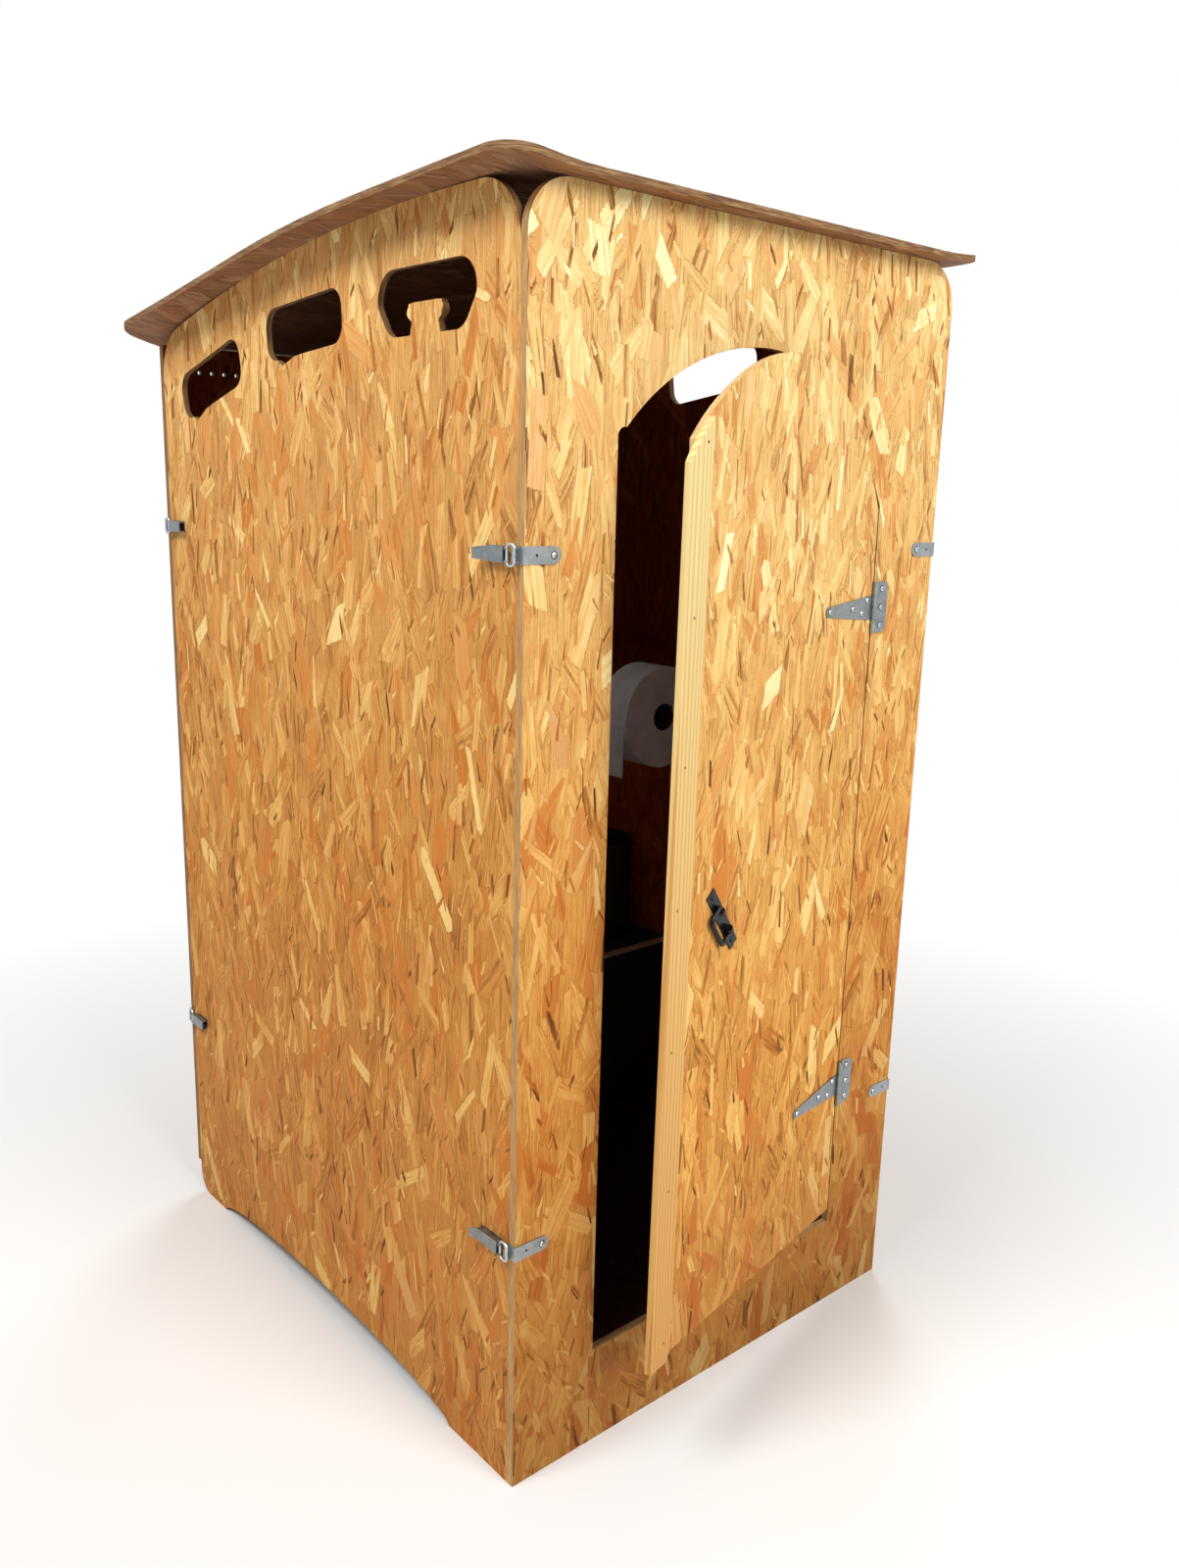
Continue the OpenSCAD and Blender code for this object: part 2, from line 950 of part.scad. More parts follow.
// Base plate screwed to the side wall, with two ears for the lever's pivot
module latch_bases() {
  corner = 4;
  ear_z = lever_w/2 - 2*latch_t - latch_slack;
  color(zinc)
    place()
      each_latch() {
        side_board(-latch_t, latch_t)
          translate([lever_y + lever_l/2, 0])
            offset(r = corner, $fn = 24)
              square([lever_l - 2*corner, lever_w - 2*corner], center = true);
        for (s = [-1, 1])
          translate([0, 0, s*(ear_z - latch_t/2) - latch_t/2])
            linear_extrude(height = latch_t)
              difference() {
                union() {
                  translate([-pivot_off, pivot_y])
                    circle(r = 2*pivot_r, $fn = 32);
                  translate([-pivot_off, pivot_y - 2*pivot_r])
                    square([pivot_off, 4*pivot_r]);
                }
                translate([-pivot_off, pivot_y])
                  circle(r = pivot_r + latch_slack, $fn = 24);
              }
      }
}

front_left_jamb();
front_right_jamb();
front_head();
front_sill();
left_wall();
left_vent_band();
right_wall();
right_front_vent_panel();
right_middle_vent_panel();
right_back_vent_panel();
back_wall();
roof_sheet();
floor_panel();
floor_bearers();
bench_front();
bench_top();
bench_lipping();
seat_ring();
bucket();
paper_roll();
paper_end();
roll_holder();
door_panel();
door_strip();
hinge_straps();
hinge_plates();
handle_plate();
handle_bow();
latch_hooks();
latch_bails();
latch_levers();
latch_bases();
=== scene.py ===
import json
import math

import bmesh
import bpy
from mathutils import Matrix, Vector


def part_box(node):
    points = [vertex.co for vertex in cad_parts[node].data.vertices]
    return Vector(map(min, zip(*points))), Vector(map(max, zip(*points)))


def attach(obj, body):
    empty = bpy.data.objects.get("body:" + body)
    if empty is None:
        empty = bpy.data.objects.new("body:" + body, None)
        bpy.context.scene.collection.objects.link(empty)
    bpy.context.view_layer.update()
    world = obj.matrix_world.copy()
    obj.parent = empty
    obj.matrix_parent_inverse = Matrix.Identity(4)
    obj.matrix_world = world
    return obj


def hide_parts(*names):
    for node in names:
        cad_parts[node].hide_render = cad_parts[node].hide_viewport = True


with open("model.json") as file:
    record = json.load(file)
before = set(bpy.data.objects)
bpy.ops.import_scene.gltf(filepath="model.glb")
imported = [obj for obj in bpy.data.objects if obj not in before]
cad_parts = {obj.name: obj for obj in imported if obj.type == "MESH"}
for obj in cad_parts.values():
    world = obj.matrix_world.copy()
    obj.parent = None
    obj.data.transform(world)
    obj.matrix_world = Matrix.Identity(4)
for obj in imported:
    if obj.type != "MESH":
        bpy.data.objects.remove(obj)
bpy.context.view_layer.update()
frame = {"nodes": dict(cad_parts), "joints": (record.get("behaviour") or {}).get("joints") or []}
nodes = frame["nodes"]

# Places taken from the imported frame, in metres, and how far the door stands open at rest
LEFT_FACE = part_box("left_wall")[0].x
FRONT_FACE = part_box("front_sill")[0].y
BACK_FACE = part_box("back_wall")[1].y
PIN = Vector(frame["joints"][0]["pos_m"])
DOOR_OPEN = math.radians(11.4)
DOOR_TURN = Matrix.Rotation(DOOR_OPEN, 3, "Z")

# Cabin and door, in millimetres from the middle of the front face's foot
MM_PER_METRE = 1000
HALF_W = 500.0
DEPTH = (BACK_FACE - FRONT_FACE) * MM_PER_METRE
PIN_X = 322.5

# Places of the fixings, in millimetres: hinges, latches, handle and the nails of the pine strip
LEAF = 2.5
STRIP = 12.0
HINGE_HEIGHTS = (1462, 500)
STRAP_SCREWS = ((-170, 0), (-82, 1), (-45, -9), (-26, 14))
PLATE_SCREW_X = PIN_X + 24
PLATE_SCREWS = (34, 0, -34)
LATCH_HEIGHTS = (1567, 445)
HOOK_SCREW_X = HALF_W - 54
HOOK_HOLE_X = HALF_W - 22
HOOK_HOLE_OUT = 0.2
HANDLE_X = PIN_X - 482
HANDLE_Z = 974
HANDLE_TILT = math.radians(37)
HANDLE_SCREWS = (-56, 56)
NAILS = ((-280, 1733), (-298, 1480), (-306, 1255), (-311, 1029), (-311, 792), (-302, 544), (-297, 257))

# Heads of the fixings: radius and height in metres
STRAP_HEAD = (0.0054, 0.0028)
PLATE_HEAD = (0.0052, 0.0028)
HOOK_HEAD = (0.0052, 0.0026)
HANDLE_HEAD = (0.0050, 0.0024)
HOLE_SHADE = (0.0030, 0.0003)
NAIL_HEAD = (0.0021, 0.0003)

# Turns of the screws' crosses in radians: the first and the step to the next, or the turn per millimetre
STRAP_TURN = (0.4, 1.3)
PLATE_TURN = (0.9, 1.1)
FRONT_HOOK_TURN = 0.3
BACK_HOOK_TURN = 0.7
HANDLE_TURN = 0.5

# Shape of a head: points in a ring, rings as shares of its radius and height, and the dark rim and cross,
# painted shade of the countersink and the cross recess, as shares of its radius and lifts in metres
RING = 20
HEAD_RINGS = ((1.0, 0.0), (0.98, 0.35), (0.80, 0.78), (0.46, 1.0))
RIM = 1.22
RIM_LIFT = 0.0001
CROSS_LONG = 0.44
CROSS_WIDE = 0.10
CROSS_LIFT = 0.00004

# Shape of the left wall's front vent round its tongue, in millimetres; head, neck and root are shares of the
# tongue's width
TONGUE_Y = 251.0
TONGUE_HALF = 52.0
TONGUE_DROP = 4.0
VENT_Z = 1937.0
VENT_HALF = 140.0
VENT_DROP = 51.0
HEAD_DROP = 18.0
NECK_DROP = 32.0
HEAD = 1.03
NECK = 0.83
ROOT = 0.95
DRAWN_IN = 14.0

# Shape of the door and of the doorway's arch, in millimetres with the door shut
PANEL_T = 11.0
FOOT_Z = 225.0
FOOT_LIFT = 13.0
STRIP_LEFT = -337.0
STRIP_NARROW = 0.77
STRIP_LEAN = 0.0095
ARCH_MIDDLE = 1482.0
ARCH_RADIUS = 390.0
ARCH_GAP = 21.0
ARCH_CLOSE = 12.0
ARCH_EASE = 200.0
ARCH_TOP = 1893.0
ARCH_NEAR = 1
ARCH_WIDE = 380.0
ARCH_FALL = 515.0
HINGE_X = 300.0
HINGE_CLOSE = 0.125
HINGE_GAP = 7

# Greatest angle in radians between faces that count as one flat face
FLAT = 0.004

# Camera, measured from the cabin's front left corner on the ground
IMAGE_H = 1600
FOCAL_PIXELS = 1294.2
SENSOR = 36.0
CAMERA_FROM_CORNER = Vector((-1.1337, -1.4549, 1.6557))
CAMERA_YAW = math.radians(41.10)
CAMERA_PITCH = math.radians(12.89)
CAMERA_ROLL = math.radians(-1.44)

# Light: level of the surround, and each lamp's name, place, target, width in metres and power in watts
SURROUND_LEVEL = 0.34
LAMPS = (
    ("key", (0.1, -4.9, 4.0), (0.0, -0.3, 1.2), 3.0, 225.0),
    ("fill", (-3.2, -0.4, 5.0), (0.0, 0.0, 1.0), 2.0, 186.0),
    ("back", (3.8, 3.4, 3.8), (0.0, 0.0, 1.0), 3.0, 130.0),
)

# Floor: half its width, and between which distances it fades to white, in metres
FLOOR_REACH = 30.0
FLOOR_FADE = (1.0, 2.6)
FLOOR_COLOUR = (0.80, 0.80, 0.79, 1.0)
FLOOR_ROUGH = 0.9
WHITE = (1, 1, 1, 1)

# Colours of the strands from the darkest tone to the palest, linear
STRAW_FRONT = [
    (0.00, (0.14, 0.052, 0.014)),
    (0.22, (0.48, 0.205, 0.050)),
    (0.40, (0.73, 0.375, 0.100)),
    (0.52, (0.81, 0.465, 0.145)),
    (0.66, (0.87, 0.560, 0.205)),
    (0.82, (0.91, 0.680, 0.310)),
    (1.00, (0.94, 0.780, 0.430)),
]
# Sides, back and floor: darker and more orange than the front, partly the boards' own tone and partly
# painted shade of the less lit sides
STRAW_SIDE_SHADED = [
    (0.00, (0.13, 0.045, 0.012)),
    (0.22, (0.42, 0.165, 0.038)),
    (0.40, (0.62, 0.275, 0.068)),
    (0.52, (0.70, 0.345, 0.098)),
    (0.66, (0.78, 0.435, 0.140)),
    (0.82, (0.86, 0.560, 0.220)),
    (1.00, (0.92, 0.690, 0.330)),
]
STRAW_ROOF = [
    (0.00, (0.13, 0.058, 0.028)),
    (0.25, (0.21, 0.098, 0.046)),
    (0.50, (0.29, 0.146, 0.074)),
    (0.75, (0.35, 0.192, 0.104)),
    (1.00, (0.43, 0.270, 0.160)),
]
ORANGE = (0.62, 0.200, 0.036, 1.0)
ROOF_ORANGE = 0.25

# Places in the endless pattern of strands from which the boards are cut, in metres
LEFT_SEED = (2.3, 0.7, 0)
RIGHT_SEED = (6.1, 3.2, 0)
BACK_SEED = (4.4, 8.2, 0)
DOOR_SEED = (9.5, 1.1, 0)
FLOOR_SEED = (1.5, 6.6, 0)
ROOF_SEED = (7.7, 2.9, 0)

# Colours of the cut edges, and tints of the inner faces: painted shade of the dark inside, lighter on the
# door
EDGE = [(0.25, (0.075, 0.036, 0.016)), (0.5, (0.22, 0.115, 0.050)), (0.75, (0.40, 0.250, 0.115))]
FRONT_EDGE = [(0.25, (0.26, 0.140, 0.055)), (0.5, (0.46, 0.265, 0.105)), (0.75, (0.60, 0.380, 0.170))]
FRESH_EDGE = [(0.25, (0.36, 0.200, 0.080)), (0.5, (0.66, 0.430, 0.190)), (0.75, (0.80, 0.590, 0.310))]
INNER_PAINTED_SHADE = (0.50, 0.185, 0.120)
DOOR_INSIDE_SHADE = (0.80, 0.66, 0.50)
FLOOR_PAINTED_SHADE = (0.045, 0.030, 0.035)

# Painted light, brighter towards the top and darker towards the foot: heights it spans in metres, tints of
# the painted shade from the foot up, share of painted highlight at the top
BOARD_HEIGHTS = (0.0, 2.05)
FRONT_PAINTED_LIGHT = (
    BOARD_HEIGHTS,
    [(0.0, (0.44, 0.34, 0.20)), (0.12, (0.54, 0.41, 0.24)), (0.28, (0.73, 0.57, 0.38)),
     (0.52, (0.85, 0.72, 0.54)), (0.80, (0.97, 0.98, 0.98))],
    0.82,
)
DOOR_PAINTED_LIGHT = (
    BOARD_HEIGHTS,
    [(0.0, (0.52, 0.40, 0.25)), (0.12, (0.68, 0.54, 0.35)), (0.28, (0.87, 0.74, 0.48)),
     (0.52, (0.92, 0.86, 0.70)), (0.80, (0.97, 0.98, 0.98))],
    0.90,
)
SIDE_PAINTED_LIGHT = (
    BOARD_HEIGHTS,
    [(0.0, (0.78, 0.68, 0.46)), (0.5, (0.93, 0.85, 0.64)), (1.0, (1.03, 1.02, 0.96))],
    0.6,
)
PINE_PAINTED_LIGHT = (
    (0.2, 1.75),
    [(0.0, (0.78, 0.60, 0.40)), (0.45, (0.92, 0.84, 0.72)), (0.9, (0.97, 1.0, 1.0))],
    0.9,
)

# Painted highlight: what it adds, where it grows over the height, which tones it reaches, how much orange it
# takes
PAINTED_HIGHLIGHT = (0.0, 0.100, 0.080, 1.0)
HIGHLIGHT_RISE = (0.40, 0.95)
HIGHLIGHT_TONES = (0.08, 0.48)
HIGHLIGHT_ORANGE = -0.5

# Layers of strands from the lowest up: turn in degrees, spread of the turn in radians, width and length of a
# cell, share of cells filled, and the least and greatest tone of a strand; then how the layers are shifted
STRAND_LAYERS = [
    (3, 0.6, 0.078, 0.270, 1.00, 0.34, 0.60),
    (-13, 0.8, 0.062, 0.200, 0.92, 0.30, 0.64),
    (15, 0.8, 0.054, 0.175, 0.88, 0.28, 0.70),
    (-4, 2.0, 0.058, 0.155, 0.60, 0.26, 0.78),
    (2, 0.9, 0.024, 0.115, 0.48, 0.16, 0.78),
    (10, 2.1, 0.064, 0.190, 0.20, 0.70, 1.00),
    (-3, 1.3, 0.012, 0.085, 0.15, 0.00, 0.16),
    (-8, 1.7, 0.012, 0.062, 0.25, 0.10, 0.95),
]
LAYER_START = (3.7, 5.3, 0.0)
LAYER_STEP = (1.31, 2.17, 0.0)

# Form of a strand: half length and half width as spread and least share of its cell, slant of its ends, and
# which strands taper, where along them and by how much
CELL_SPREAD = 0.8
HALF_LENGTH = (0.27, 0.18)
HALF_WIDTH = (0.25, 0.10)
END_SLANT = 0.9
TAPERED = (0.5, 1.0)
TAPER_ALONG = (-0.6, 1.0)
MOST_TAPER = 0.85

# Edge of a strand and the shadow beside it, in metres, and the shadow's depth
EDGE_SOFT = 0.0008
SHADOW_WIDE = 0.0026
SHADOW_SIDE = 0.004
SHADOW_DEPTH = -0.36

# Factors that make further draws out of one draw
TAPER_DRAW = 7.7
SHARE_DRAW = 13.7
TONE_DRAW = 17.3
ORANGE_DRAW = 23.1

# Middle of an even draw and of a noise
MIDDLE = 0.5

# Patterns of a strand board, in cells to a metre across and along the strands
FIBRE = (330.0, 9.0, 0.0)
WAVE = (45.0, 30.0, 0.0)
GRAIN = (170.0, 9.0, 0.0)
DRIFT = (3.0, 1.6, 0.0)
SMUDGE = (17.0, 8.0, 0.0)
RELIEF = (130.0, 11.0, 0.0)
EDGE_THROUGH = 700.0
EDGE_ALONG = 30.0

# Depths of those patterns: torn ends in metres, tone of the bed under the strands, and spans as from, to,
# least and greatest
TORN_ACROSS = 0.002
TORN_ALONG = 0.010
BED_TONE = (0.5, 0.16)
BED_ORANGE = 0.25
GRAIN_SHIFT = 31.0
GRAIN_DEPTH = 1.10
DRIFT_DEPTH = 0.16
SMUDGE_SPAN = (0.52, 0.72, 0.0, 0.34)
ORANGE_SPAN = (0.64, 0.90, 0.0, 0.80)
STRAND_ROUGH = (0.1, 0.9, 0.72, 0.55)
STRAND_SHINE = 0.16
RELIEF_DEPTH = 0.0010
BACK_SHIFT = (13.7, 9.1, 0.0)
EDGE_FACING = 0.6

# Pine: colours, patterns in cells to a metre along and across the grain, growth rings and dense late wood
PINE = (0.80, 0.545, 0.215)
LIPPING = (0.56, 0.46, 0.41)
DENSE = (0.76, 0.56, 0.36)
PORES = (0.72, 0.58, 0.42)
PINE_BEND = (0.55, 9.0)
PINE_FIBRE = (6.0, 620.0)
RING_SLOPE = 0.35
RING_BEND = 0.05
RINGS_PER_METRE = 105.0
LATE_RISE = (0.25, 0.86)
LATE_FALL = (1.0, 0.90)
LATE_SHARE = 0.9
LATE_RELIEF = 0.5
PORE_SPAN = (0.35, 0.75, 0.0, 0.30)
PINE_ROUGH = (0.2, 0.8, 0.5, 0.65)
PINE_SHINE = 0.3
PINE_DEPTH = 0.0005

# Span of the clouds that change the roughness of zinc and black finishes
CLOUD = (0.3, 0.7)

# Zinc: colours over its tone, patterns in cells to a metre and their shares of the tone
ZINC = [(0.10, (0.20, 0.22, 0.228)), (0.30, (0.29, 0.31, 0.318)), (0.5, (0.44, 0.455, 0.455))]
SPANGLE = 190.0
ZINC_CLOUD = 60.0
SCRATCH = (900.0, 900.0, 60.0)
SPANGLE_SHARE = 0.10
CLOUD_SHARE = 0.45
ZINC_ROUGH = (-0.06, 0.10)
ZINC_DEPTH = 0.0002

# Black finishes: places in the cloud with shares of the colour, and how much finer the bumps are
MOTTLE = ((0.3, 0.6), (0.7, 1.5))
FINER = 14.0
BLACK_ROUGH = (-0.08, 0.10)

# Paper: colours, radius of the core in metres, turns of the roll and the tissue's patterns
TISSUE = [(0.3, (0.68, 0.65, 0.63)), (0.9, (0.86, 0.83, 0.82))]
CORE_COLOUR = (0.060, 0.022, 0.016, 1.0)
CORE = 0.0306
TURN_WAVES = 2600.0
TISSUE_FINE = 320.0
TISSUE_CLOUD = 24.0
TURN_SHARE = 0.10
FINE_SHARE = 0.25
TURN_RELIEF = 0.4
PAPER_ROUGH = 0.92
PAPER_SHINE = 0.1
PAPER_DEPTH = 0.0006

VECTOR = "NodeSocketVector"
FLOAT = "NodeSocketFloat"


class Graph:
    """Short way to write shader nodes: each call returns an output socket."""

    def __init__(self, tree):
        self.tree = tree

    def node(self, kind, inputs=None, **settings):
        made = self.tree.nodes.new(kind)
        for name, value in settings.items():
            setattr(made, name, value)
        for name, value in (inputs or {}).items():
            self.feed(made.inputs[name], value)
        return made

    def feed(self, socket, value):
        if isinstance(value, bpy.types.NodeSocket):
            self.tree.links.new(value, socket)
        else:
            socket.default_value = value

    def place(self):
        return self.node("ShaderNodeTexCoord").outputs["Object"]

    def math(self, operation, a, b=0.0, c=0.0):
        return self.node("ShaderNodeMath", {0: a, 1: b, 2: c}, operation=operation).outputs[0]

    def redraw(self, draw, factor):
        return self.math("FRACT", self.math("MULTIPLY", draw, factor))

    def vector(self, operation, a, b=(0, 0, 0)):
        made = self.node("ShaderNodeVectorMath", {0: a, 1: b}, operation=operation)
        return made.outputs["Value" if operation == "LENGTH" else "Vector"]

    def scaled(self, a, factor):
        made = self.node("ShaderNodeVectorMath", {0: a}, operation="SCALE")
        self.feed(made.inputs["Scale"], factor)
        return made.outputs["Vector"]

    def turned(self, a, angle):
        made = self.node("ShaderNodeVectorRotate", {"Vector": a, "Angle": angle}, rotation_type="Z_AXIS")
        return made.outputs["Vector"]

    def split(self, a):
        return self.node("ShaderNodeSeparateXYZ", {0: a}).outputs

    def join(self, x, y, z=0.0):
        return self.node("ShaderNodeCombineXYZ", {0: x, 1: y, 2: z}).outputs[0]

    def mix(self, factor, a, b, blend="MIX"):
        made = self.node("ShaderNodeMix", {0: factor, 6: a, 7: b}, data_type="RGBA", blend_type=blend)
        return made.outputs[2]

    def mix_vector(self, factor, a, b):
        made = self.node("ShaderNodeMix", {0: factor, 4: a, 5: b}, data_type="VECTOR")
        return made.outputs[1]

    def noise(self, point, scale, detail, roughness):
        inputs = {"Vector": point, "Scale": scale, "Detail": detail, "Roughness": roughness}
        return self.node("ShaderNodeTexNoise", inputs).outputs["Fac"]

    def noise_flat(self, point, detail, roughness):
        inputs = {"Vector": point, "Scale": 1.0, "Detail": detail, "Roughness": roughness}
        return self.node("ShaderNodeTexNoise", inputs, noise_dimensions="2D").outputs["Fac"]

    def ramp(self, factor, stops):
        made = self.node("ShaderNodeValToRGB", {0: factor})
        elements = made.color_ramp.elements
        while len(elements) < len(stops):
            elements.new(0.5)
        for element, (place, colour) in zip(elements, stops):
            element.position = place
            element.color = (*colour, 1.0)
        return made.outputs[0]

    def span(self, value, low, high, to_low=0.0, to_high=1.0):
        inputs = {0: value, 1: low, 2: high, 3: to_low, 4: to_high}
        return self.node("ShaderNodeMapRange", inputs, clamp=True).outputs[0]


def new_material(name):
    """An empty material with its surface shader, and the graph to draw in."""
    made = bpy.data.materials.new(name)
    made.use_nodes = True
    made.node_tree.nodes.clear()
    graph = Graph(made.node_tree)
    shader = graph.node("ShaderNodeBsdfPrincipled")
    output = graph.node("ShaderNodeOutputMaterial")
    graph.tree.links.new(shader.outputs[0], output.inputs["Surface"])
    return made, graph, shader


def bump(graph, shader, height, distance, strength):
    """Small relief of a surface."""
    made = graph.node("ShaderNodeBump", {"Height": height, "Distance": distance, "Strength": strength})
    graph.feed(shader.inputs["Normal"], made.outputs[0])


def new_group(name, inputs, outputs):
    """An empty node group with named sockets: its graph, what it is given and where its results go."""
    tree = bpy.data.node_groups.new(name, "ShaderNodeTree")
    for label, kind in inputs.items():
        tree.interface.new_socket(label, in_out="INPUT", socket_type=kind)
    for label, kind in outputs.items():
        tree.interface.new_socket(label, in_out="OUTPUT", socket_type=kind)
    graph = Graph(tree)
    return graph, graph.node("NodeGroupInput").outputs, graph.node("NodeGroupOutput")


def stretched(axis, along, across):
    """Scales of a pattern along one named axis and across it."""
    return tuple(along if name == axis else across for name in "xyz")


def tinted(colour, shares):
    """A colour with each of its parts taken down to a share."""
    return (*[part * share for part, share in zip(colour, shares)], 1.0)


def strand_layer_group():
    """One layer of loose strands: at most one pressed strand in each cell of a stretched cell pattern."""
    g, given, out = new_group(
        "strand_layer",
        {"Point": VECTOR, "Turn": FLOAT, "Shift": VECTOR, "Cell": VECTOR, "Share": FLOAT, "Spin": FLOAT},
        {"Mask": FLOAT, "Shade": FLOAT, "Random": VECTOR, "Along": VECTOR},
    )
    point = g.vector("ADD", g.turned(given["Point"], given["Turn"]), given["Shift"])
    cells = g.vector("DIVIDE", point, given["Cell"])
    voronoi = g.node(
        "ShaderNodeTexVoronoi", {"Vector": cells, "Scale": 1.0, "Randomness": CELL_SPREAD},
        voronoi_dimensions="2D", feature="F1",
    )
    draws = g.split(voronoi.outputs["Color"])
    local = g.vector("MULTIPLY", g.vector("SUBTRACT", cells, voronoi.outputs["Position"]), given["Cell"])
    along = g.turned(local, g.math("MULTIPLY", g.math("SUBTRACT", draws[0], MIDDLE), given["Spin"]))
    place = g.split(along)
    cell = g.split(given["Cell"])
    half_l = g.math("MULTIPLY", cell[1], g.math("MULTIPLY_ADD", draws[1], *HALF_LENGTH))
    half_w = g.math("MULTIPLY", cell[0], g.math("MULTIPLY_ADD", draws[2], *HALF_WIDTH))
    tilt = g.math("MULTIPLY_ADD", draws[2], 2 * END_SLANT, -END_SLANT)
    slant = g.math("MULTIPLY_ADD", place[0], tilt, place[1])
    rise = g.span(g.math("DIVIDE", place[1], half_l), *TAPER_ALONG)
    taper = g.math("MULTIPLY", g.span(g.redraw(draws[0], TAPER_DRAW), *TAPERED, 0.0, MOST_TAPER), rise)
    half_w = g.math("MULTIPLY", half_w, g.math("SUBTRACT", 1.0, taper))
    room_w = g.math("SUBTRACT", half_w, g.math("ABSOLUTE", place[0]))
    room_l = g.math("SUBTRACT", half_l, g.math("ABSOLUTE", slant))
    room = g.math("MINIMUM", room_w, room_l)
    drawn = g.redraw(draws[1], SHARE_DRAW)
    present = g.math("LESS_THAN", drawn, given["Share"])
    mask = g.math("MULTIPLY", g.span(room, 0.0, EDGE_SOFT), present)
    shadowed = g.math("MULTIPLY", present, g.span(place[0], -SHADOW_SIDE, SHADOW_SIDE))
    halo = g.math("MULTIPLY", g.span(room, -SHADOW_WIDE, 0.0), shadowed)
    shade = g.math("MULTIPLY_ADD", g.math("SUBTRACT", halo, mask), SHADOW_DEPTH, 1.0)
    random = g.join(g.redraw(draws[2], TONE_DRAW), g.redraw(draws[0], ORANGE_DRAW), drawn)
    g.feed(out.inputs["Mask"], mask)
    g.feed(out.inputs["Shade"], shade)
    g.feed(out.inputs["Random"], random)
    g.feed(out.inputs["Along"], along)
    return g.tree


def strand_board_group(layer):
    """Pressed strands in a board's own plane: their tone and their share of orange."""
    g, given, out = new_group("strand_board", {"Point": VECTOR}, {"Tone": FLOAT, "Orange": FLOAT})
    flat = given["Point"]
    fibre = g.noise_flat(g.vector("MULTIPLY", flat, FIBRE), detail=2.0, roughness=0.6)
    wave = g.noise_flat(g.vector("MULTIPLY", flat, WAVE), detail=1.0, roughness=0.5)
    torn = g.join(g.math("MULTIPLY_ADD", wave, TORN_ACROSS, -TORN_ACROSS / 2),
                  g.math("MULTIPLY_ADD", fibre, TORN_ALONG, -TORN_ALONG / 2))
    point = g.vector("ADD", flat, torn)
    state = g.join(g.math("MULTIPLY_ADD", fibre, *BED_TONE), BED_ORANGE)
    lie = flat
    for index, (turn, spin, width, length, share, low, high) in enumerate(STRAND_LAYERS):
        shift = tuple(start + step * index for start, step in zip(LAYER_START, LAYER_STEP))
        inputs = {"Point": point, "Turn": math.radians(turn), "Shift": shift, "Cell": (width, length, 1.0),
                  "Share": share, "Spin": spin}
        made = g.node("ShaderNodeGroup", inputs, node_tree=layer)
        draws = made.outputs["Random"]
        tone = g.vector("ADD", g.vector("MULTIPLY", draws, (high - low, 1.0, 1.0)), (low, 0.0, 0.0))
        state = g.vector("MULTIPLY", state, g.join(made.outputs["Shade"], 1.0, 1.0))
        state = g.mix_vector(made.outputs["Mask"], state, tone)
        lie = g.mix_vector(made.outputs["Mask"], lie, made.outputs["Along"])
    parts = g.split(state)
    grain_at = g.vector("ADD", g.vector("MULTIPLY", lie, GRAIN), g.scaled(state, GRAIN_SHIFT))
    grain = g.math("SUBTRACT", g.noise_flat(grain_at, detail=3.0, roughness=0.7), MIDDLE)
    tone = g.math("MULTIPLY_ADD", grain, GRAIN_DEPTH, parts[0])
    drift = g.noise_flat(g.vector("MULTIPLY", flat, DRIFT), detail=2.0, roughness=0.5)
    tone = g.math("MULTIPLY_ADD", g.math("SUBTRACT", drift, MIDDLE), DRIFT_DEPTH, tone)
    smudge = g.noise_flat(g.vector("MULTIPLY", flat, SMUDGE), detail=3.0, roughness=0.6)
    orange = g.math("MAXIMUM", g.span(smudge, *SMUDGE_SPAN), g.span(parts[1], *ORANGE_SPAN))
    g.feed(out.inputs["Tone"], tone)
    g.feed(out.inputs["Orange"], orange)
    return g.tree


STRANDS = strand_board_group(strand_layer_group())


def painted_highlight_share(g, height, painted_light):
    """Share of painted highlight at a height."""
    reach, _, pale = painted_light
    return g.span(g.span(height, *reach), *HIGHLIGHT_RISE, 0.0, pale)


def with_painted_highlight(g, colour, share, tone):
    """Colour with a share of painted highlight, which leaves the darkest strands as they are."""
    return g.mix(g.math("MULTIPLY", share, g.span(tone, *HIGHLIGHT_TONES)), colour, PAINTED_HIGHLIGHT, "ADD")


def with_painted_shade(g, colour, height, painted_light):
    """Colour with the painted shade of its height, darker towards the foot."""
    reach, tints, _ = painted_light
    return g.mix(1.0, colour, g.ramp(g.span(height, *reach), tints), "MULTIPLY")


